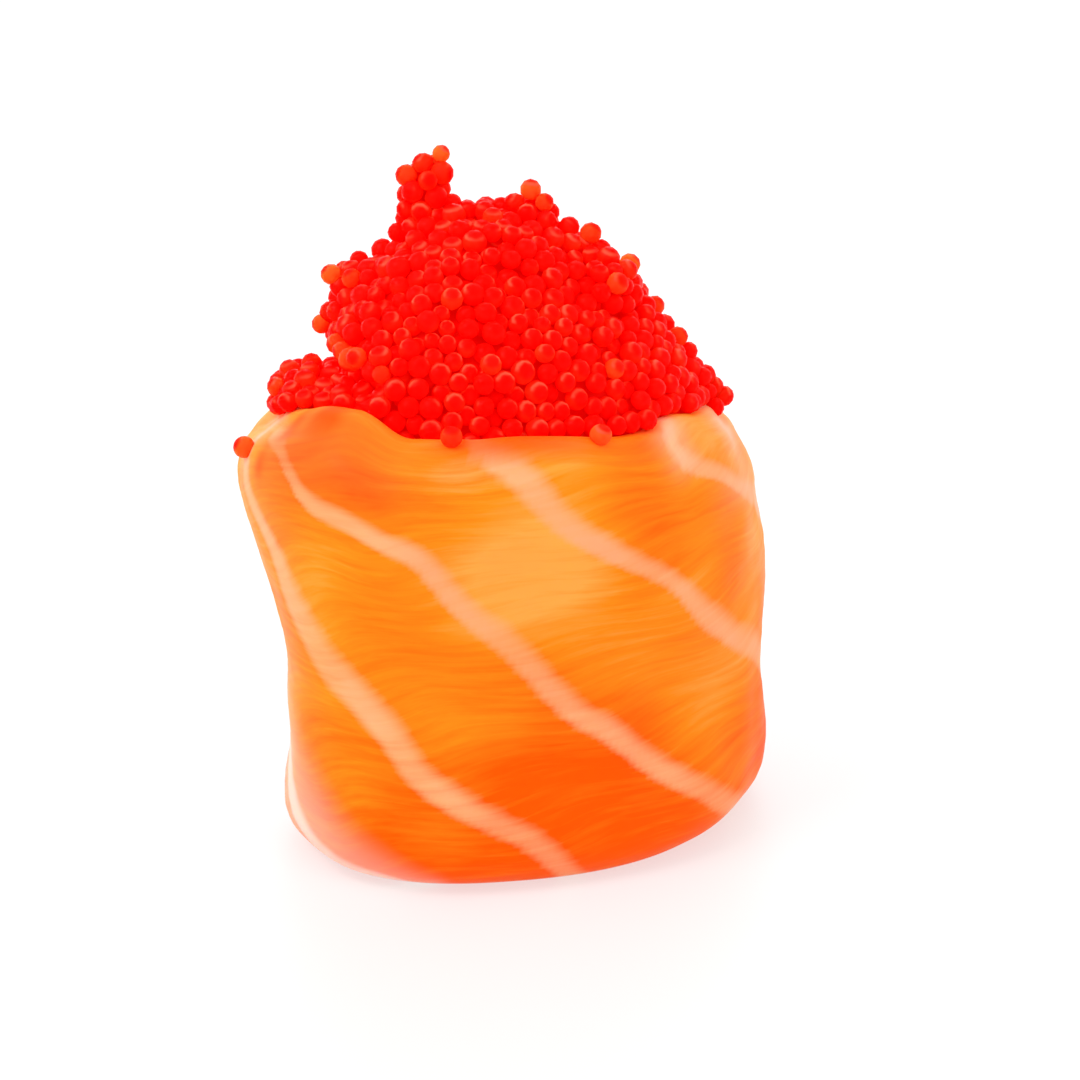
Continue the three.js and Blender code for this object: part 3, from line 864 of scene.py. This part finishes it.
# %% How openly the eggs lie
EGG_REACH = 1.35 * ROE_DIAMETER  # neighbours are counted within this
CROWD = 6.5  # with this many neighbours no light comes through
SALMON_CROWD = 5
STRAY_OPENNESS = [0.5, 0.15, 0.4]


def ways_out(tree, places):
    """For each place the direction in which the surface next to it faces."""
    return np.array([depth_in(tree, place)[1] for place in places])


def openness_of(places):
    """0 deep in the crowd, 1 for an egg that stands nearly alone. Salmon counts as half a crowd."""
    first, second = neighbours(places, EGG_REACH)
    near = np.bincount(np.r_[first, second], minlength=len(places)).astype(float)
    near += [SALMON_CROWD if depth_in(salmon_tree, place)[0] < ROE_DIAMETER else 0 for place in places]
    return np.clip((CROWD - near) / CROWD, 0, 1)


openness = openness_of(eggs)
print("open eggs:", int((openness > 0.5).sum()))

# %% One egg and its copies
SQUASH = 0.03  # how much an egg's three sizes differ


def copies(name, places, radii, outwards, openness, subdivisions):
    """One mesh with an egg at every place."""
    seat = bpy.data.meshes.new(name + "_places")
    seat.from_pydata(places.tolist(), [], [])
    turns = random.uniform(0, 2 * math.pi, (len(places), 3))
    squash = radii[:, None] * (1 + SQUASH * random.standard_normal((len(places), 3)).clip(-2, 2))
    for label, values in (("turn", turns), ("size", squash)):
        seat.attributes.new(label, "FLOAT_VECTOR", "POINT").data.foreach_set("vector", values.ravel())
    bm = bmesh.new()
    bmesh.ops.create_icosphere(bm, subdivisions=subdivisions, radius=1)
    ball = bpy.data.objects.new("one_egg", mesh_of(bm, "one_egg"))
    holder = in_scene(name, seat)

    tree = bpy.data.node_groups.new(name, "GeometryNodeTree")
    for way in ("INPUT", "OUTPUT"):
        tree.interface.new_socket("Geometry", in_out=way, socket_type="NodeSocketGeometry")
    given = {"Points": node(tree, "NodeGroupInput").outputs[0],
             "Instance": node(tree, "GeometryNodeObjectInfo", {"Object": ball}).outputs["Geometry"]}
    for label, socket in (("turn", "Rotation"), ("size", "Scale")):
        reader = node(tree, "GeometryNodeInputNamedAttribute", {"Name": label}, data_type="FLOAT_VECTOR")
        given[socket] = reader.outputs["Attribute"]
    laid = node(tree, "GeometryNodeInstanceOnPoints", given)
    real = node(tree, "GeometryNodeRealizeInstances", {"Geometry": laid.outputs["Instances"]})
    node(tree, "NodeGroupOutput", {0: real.outputs["Geometry"]})
    holder.modifiers.new("eggs", "NODES").node_group = tree
    mesh = bpy.data.meshes.new_from_object(holder.evaluated_get(bpy.context.evaluated_depsgraph_get()))
    mesh.name = name
    mesh.materials.clear()
    for thing in (holder, ball):
        bpy.data.objects.remove(thing)
    bpy.data.node_groups.remove(tree)

    spokes = places_of(mesh).reshape(len(places), -1, 3) - places[:, None]
    spokes /= np.linalg.norm(spokes, axis=2)[:, :, None]
    outer = np.einsum("ijk,ik->ij", spokes, outwards)
    open_here = np.broadcast_to(openness[:, None], outer.shape)
    for label, values in (("outer", outer), ("upper", spokes[:, :, 2]), ("openness", open_here)):
        store(mesh, label, values)
    return mesh


egg_mesh = copies("roe_eggs", eggs, sizes, ways_out(heap_tree, eggs), openness, 2)
stray_mesh = copies("stray_eggs", stray_places, np.full(len(stray_places), EGG),
                    ways_out(salmon_tree, stray_places), np.array(STRAY_OPENNESS), 3)
print("roe:", len(egg_mesh.polygons), "faces")

# %% [markdown]
# Into the frame
#
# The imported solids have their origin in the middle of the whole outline, and these meshes have it in the
# middle of the tub. The salmon's own box says how far apart the two are. Each mesh is moved and turned into
# metres by its points, so that every object stays at the origin, and patterns on object coordinates lie
# still.

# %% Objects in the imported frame
own = np.vstack([salmon_places, places_of(stray_mesh)])
own_middle = (own.min(0) + own.max(0)) / 2
cad_low, cad_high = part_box("salmon_wrap")
to_frame = (np.array(cad_low) + np.array(cad_high)) / 2 / MM - own_middle
to_frame[2] = 0
print("millimetres from tub to frame:", to_frame.round(3).tolist())


def piece(mesh, node):
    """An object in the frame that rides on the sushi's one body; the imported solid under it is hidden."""
    write_places(mesh, (places_of(mesh) + to_frame) * MM)
    mesh.polygons.foreach_set("use_smooth", [True] * len(mesh.polygons))
    made = in_scene(mesh.name, mesh)
    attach(made, "root")
    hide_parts(node)
    return made


flesh_piece = piece(salmon, "salmon_wrap")
stray_piece = piece(stray_mesh, "salmon_wrap")
core_piece = piece(core, "roe_heap")
eggs_piece = piece(egg_mesh, "roe_heap")

# %% [markdown]
# Building materials
#
# With the same helper, each material reads as a list of its nodes. All three materials are wet, and wetness
# isn't even: a film of moisture is glossier in some places than in others. That is one node group, with its
# own scale and its own two roughnesses in each material.

# %% The wet film and other helpers
FILM_EDGES = (0.35, 0.65)  # values of the noise that are fully wet and fully dry


def share_of(tree, value, low, high, at_low=0.0, at_high=1.0, how="LINEAR"):
    """Goes from one value to another while a socket goes from low to high."""
    inputs = {"Value": value, "From Min": low, "From Max": high, "To Min": at_low, "To Max": at_high}
    return node(tree, "ShaderNodeMapRange", inputs, interpolation_type=how).outputs["Result"]


wet_film = bpy.data.node_groups.new("wet film", "ShaderNodeTree")
for name in ("Scale", "Wet", "Dry"):
    wet_film.interface.new_socket(name, in_out="INPUT", socket_type="NodeSocketFloat")
wet_film.interface.new_socket("Roughness", in_out="OUTPUT", socket_type="NodeSocketFloat")
given = node(wet_film, "NodeGroupInput").outputs
where = node(wet_film, "ShaderNodeTexCoord").outputs["Object"]
patches = node(wet_film, "ShaderNodeTexNoise", {"Vector": where, "Scale": given["Scale"], "Detail": 2.0})
spread = share_of(wet_film, patches.outputs["Fac"], *FILM_EDGES, given["Wet"], given["Dry"])
node(wet_film, "NodeGroupOutput", {"Roughness": spread})
print("nodes in the wet film:", len(wet_film.nodes))


def new_material(name):
    """A material with an empty node tree, and its tree."""
    material = bpy.data.materials.new(name)
    material.use_nodes = True
    material.node_tree.nodes.clear()
    return material, material.node_tree


def mix_colour(tree, share, first, second):
    """The colour between two, as a socket."""
    mixed = node(tree, "ShaderNodeMix", {0: share, 6: first, 7: second}, data_type="RGBA")
    return mixed.outputs[2]


def math_of(tree, operation, first, second, third=0.0, clamp=False):
    inputs = {0: first, 1: second, 2: third}
    return node(tree, "ShaderNodeMath", inputs, operation=operation, use_clamp=clamp).outputs[0]


def film_on(tree, scale, wet, dry):
    inputs = {"Scale": scale, "Wet": wet, "Dry": dry}
    return node(tree, "ShaderNodeGroup", inputs, node_tree=wet_film).outputs["Roughness"]


def attribute(tree, name):
    return node(tree, "ShaderNodeAttribute", attribute_name=name).outputs["Fac"]


def surface(tree, inputs):
    shader = node(tree, "ShaderNodeBsdfPrincipled", inputs)
    node(tree, "ShaderNodeOutputMaterial", {"Surface": shader.outputs[0]})


# %% [markdown]
# Salmon flesh
#
# Its colour is a path from a light yellow orange, painted light where the slice is thin and bright, to a deep
# orange that is partly painted shade, with the painted depth and the fibres choosing the place on it. The
# fibres are a noise pulled long on the grain map. Fat is a warm cream and never white. Light goes some way
# into raw fish, which is what the subsurface share is for.

# %% Flesh material
FLESH_PATH = [  # by depth, which carries painted light and shade
    (0.0, (1.0, 0.36, 0.062, 1)), (0.4, (1.0, 0.24, 0.008, 1)), (1.0, (1.0, 0.09, 0.0, 1))]
FAT_COLOUR = (1.0, 0.375, 0.175, 1)
VEIL_AND_SHEEN_COLOUR = (1.0, 0.62, 0.52, 1)
STAIN_AND_RED_LIGHT_COLOUR = (1.0, 0.075, 0.003, 1)
FIBRE_STRETCH = (0.12, 1.5, 1)  # fibres for each millimetre, along and across
FIBRE_DEPTH = 0.8  # how far a fibre moves the colour along its path
FIBRE_FRAY = -0.6  # and what it takes from the fat
FAT_START = 0.1  # fat thinner than this doesn't show
FLESH_FILM = (220.0, 0.30, 0.46)  # patches for each metre, and the wet and the dry roughness

flesh, tree = new_material("raw salmon")
place = node(tree, "ShaderNodeUVMap", uv_map="grain").outputs["UV"]
pulled = node(tree, "ShaderNodeMapping", {"Vector": place, "Scale": FIBRE_STRETCH}).outputs[0]
fibres = node(tree, "ShaderNodeTexNoise", {"Vector": pulled, "Scale": 1.0, "Detail": 4.0, "Roughness": 0.62,
                                           "Distortion": 0.25}).outputs["Fac"]
streak = math_of(tree, "SUBTRACT", fibres, 0.5)
depth_and_shade_here = math_of(tree, "MULTIPLY_ADD", streak, FIBRE_DEPTH, attribute(tree, "depth"), clamp=True)
path = node(tree, "ShaderNodeValToRGB", {"Fac": depth_and_shade_here})
stops = path.color_ramp.elements
while len(stops) < len(FLESH_PATH):
    stops.new(0.5)
for stop, (position, colour) in zip(stops, FLESH_PATH):
    stop.position = position
    stop.color = colour
frayed = math_of(tree, "MULTIPLY_ADD", streak, FIBRE_FRAY, attribute(tree, "fat"))
with_fat = mix_colour(tree, share_of(tree, frayed, FAT_START, 1.0), path.outputs["Color"], FAT_COLOUR)
# the milky moist skin with its painted sheen
veiled_and_sheened = mix_colour(tree, attribute(tree, "veil"), with_fat, VEIL_AND_SHEEN_COLOUR)
# partly roe stain, partly painted red light from the roe
stained_and_lit = mix_colour(tree, attribute(tree, "stain"), veiled_and_sheened, STAIN_AND_RED_LIGHT_COLOUR)
bump = node(tree, "ShaderNodeBump", {"Height": fibres, "Strength": 0.2, "Distance": 0.12 * MM}).outputs[0]
surface(tree, {"Base Color": stained_and_lit, "Roughness": film_on(tree, *FLESH_FILM), "Normal": bump, "IOR": 1.38,
               "Specular IOR Level": 0.04, "Subsurface Weight": 0.35, "Subsurface Radius": (1.0, 0.4, 0.12),
               "Subsurface Scale": 2.2 * MM})
flesh_piece.data.materials.append(flesh)
print("nodes in the flesh:", len(tree.nodes))

# %% [markdown]
# Roe
#
# An egg is a thin clear skin round orange oil. In a heap, light goes in, scatters and comes back red, so
# the shader is mostly subsurface scattering under a weak wet gloss. Light that has crossed an egg is a
# painted highlight, a thin pale arc near its top, and light that comes through its neighbours is a faint
# red glow, painted as emission. The colour follows the openness that each egg carries, with a little chance
# of its own.

# %% Roe skin
# Painted light and shade: each egg's outer pole is darker and its flanks lighter, and crowded eggs are darker
# red than lone ones, as light goes through them.
EGG_DENSE = (0.8, 0.002, 0.001, 1)
EGG_DENSE_LIT_FLANK = (0.85, 0.004, 0.002, 1)
EGG_OPEN = (0.6, 0.02, 0.005, 1)
EGG_OPEN_LIT_FLANK = (1.0, 0.19, 0.02, 1)
POLE = (0.55, 0.88)  # cosines between which the dense colour of its outer pole comes in: painted shade at the pole, painted light on the flanks
EGG_ARC_HIGHLIGHT = (1.0, 0.085, 0.042, 1)  # painted highlight: light that has crossed the egg
ARC = (0.1, 0.5)  # cosines from straight up between which the arc comes in
RING_MIDDLE = 0.62  # cosine from the pole at which the arc lies
RING_HALF = 0.22
EGG_PAINTED_GLOW = 0.14  # painted glow: an emission that stands in for red light reaching an egg through its neighbours
EGG_CHANCE = 0.25  # how far chance changes an egg's openness
ARC_CHANCE = (0.46, 0.62)  # arcs show where the same chance is high
EGG_FILM = (600.0, 0.10, 0.22)
# the emission is a painted red glow, light that would come through neighbouring eggs
EGG_BODY = {
    "IOR": 1.36, "Specular IOR Level": 0.035, "Emission Color": (1.0, 0.0, 0.0, 1),
    "Emission Strength": EGG_PAINTED_GLOW, "Subsurface Weight": 1.0, "Subsurface Radius": (1.0, 0.12, 0.06),
    "Subsurface Scale": 1.2 * MM,
}

roe, tree = new_material("roe skin")
where = node(tree, "ShaderNodeTexCoord").outputs["Object"]
chance = node(tree, "ShaderNodeTexNoise", {"Vector": where, "Scale": 420.0, "Detail": 1.0}).outputs["Fac"]
open_here = math_of(tree, "MULTIPLY_ADD", math_of(tree, "SUBTRACT", chance, 0.5), EGG_CHANCE,
                    attribute(tree, "openness"), clamp=True)
outer = attribute(tree, "outer")
# painted shade at each egg's outer pole, painted light on its flanks
plain = mix_colour(tree, share_of(tree, outer, *POLE, how="SMOOTHSTEP"),
                   mix_colour(tree, open_here, EGG_DENSE_LIT_FLANK, EGG_OPEN_LIT_FLANK),
                   mix_colour(tree, open_here, EGG_DENSE, EGG_OPEN))
# painted highlight: a pale arc near the top of some eggs, on a ring round the outer pole
upper = share_of(tree, attribute(tree, "upper"), *ARC, how="SMOOTHSTEP")
off_ring = math_of(tree, "ABSOLUTE", math_of(tree, "SUBTRACT", outer, RING_MIDDLE), 0.0)
ring = share_of(tree, off_ring, 0.0, RING_HALF, 1.0, 0.0, "SMOOTHSTEP")
shown = math_of(tree, "MULTIPLY", upper, ring)
shown = math_of(tree, "MULTIPLY", shown, share_of(tree, chance, *ARC_CHANCE))
colour = mix_colour(tree, shown, plain, EGG_ARC_HIGHLIGHT)
surface(tree, {"Base Color": colour, "Roughness": film_on(tree, *EGG_FILM), **EGG_BODY})
eggs_piece.data.materials.append(roe)
stray_piece.data.materials.append(roe)
print("nodes in the roe skin:", len(tree.nodes))

# %% Roe inside the heap
CORE_FILM = (500.0, 0.3, 0.5)

inside, tree = new_material("roe inside the heap")
# the core has the same painted red glow
surface(tree, {"Base Color": EGG_DENSE, "Roughness": film_on(tree, *CORE_FILM), **EGG_BODY})
core_piece.data.materials.append(inside)
print("nodes in the inner roe:", len(tree.nodes))

# %% [markdown]
# Floor and light
#
# The sushi stands on a white light table in a white room, under large soft lights. A white world gives most
# of the light, so the shadows stay pale, and one broad lamp from the upper left gives the forms their
# direction. The table throws light back up, and some of it comes back orange from the salmon.

# %% Floor
FLOOR_SIZE = 3.0
TABLE_GREY = 0.25
TABLE_GLOW = 0.62

bm = bmesh.new()
bmesh.ops.create_grid(bm, x_segments=1, y_segments=1, size=FLOOR_SIZE / 2)
floor = in_scene("floor", mesh_of(bm, "floor"))
floor_material, tree = new_material("white table")
surface(tree, {"Base Color": (TABLE_GREY, TABLE_GREY, TABLE_GREY, 1), "Roughness": 0.5,
               "Emission Color": (1, 1, 1, 1), "Emission Strength": TABLE_GLOW})
floor.data.materials.append(floor_material)
print("floor:", FLOOR_SIZE, "m wide")

# %% Room and lamps
ROOM_LIGHT = 1.15
LAMPS = {  # place and width in metres, watts; each faces the middle of the sushi
    "key": ((-0.35, -0.3, 0.5), 0.3, 2.2),
    "back": ((0.1, 0.5, 0.4), 0.4, 0.4),
}

world = bpy.data.worlds.new("white room")
world.use_nodes = True
background = world.node_tree.nodes["Background"]
background.inputs["Color"].default_value = (1, 1, 1, 1)
background.inputs["Strength"].default_value = ROOM_LIGHT
scene.world = world
scene.view_settings.view_transform = "Standard"

for name, (place, size, watts) in LAMPS.items():
    lamp = bpy.data.lights.new(name, "AREA")
    lamp.size = size
    lamp.energy = watts
    made = in_scene(name, lamp)
    made.location = place
    made.rotation_euler = (Vector(place) - CAMERA_TARGET).to_track_quat("Z", "Y").to_euler()
print("lamps:", sorted(LAMPS))
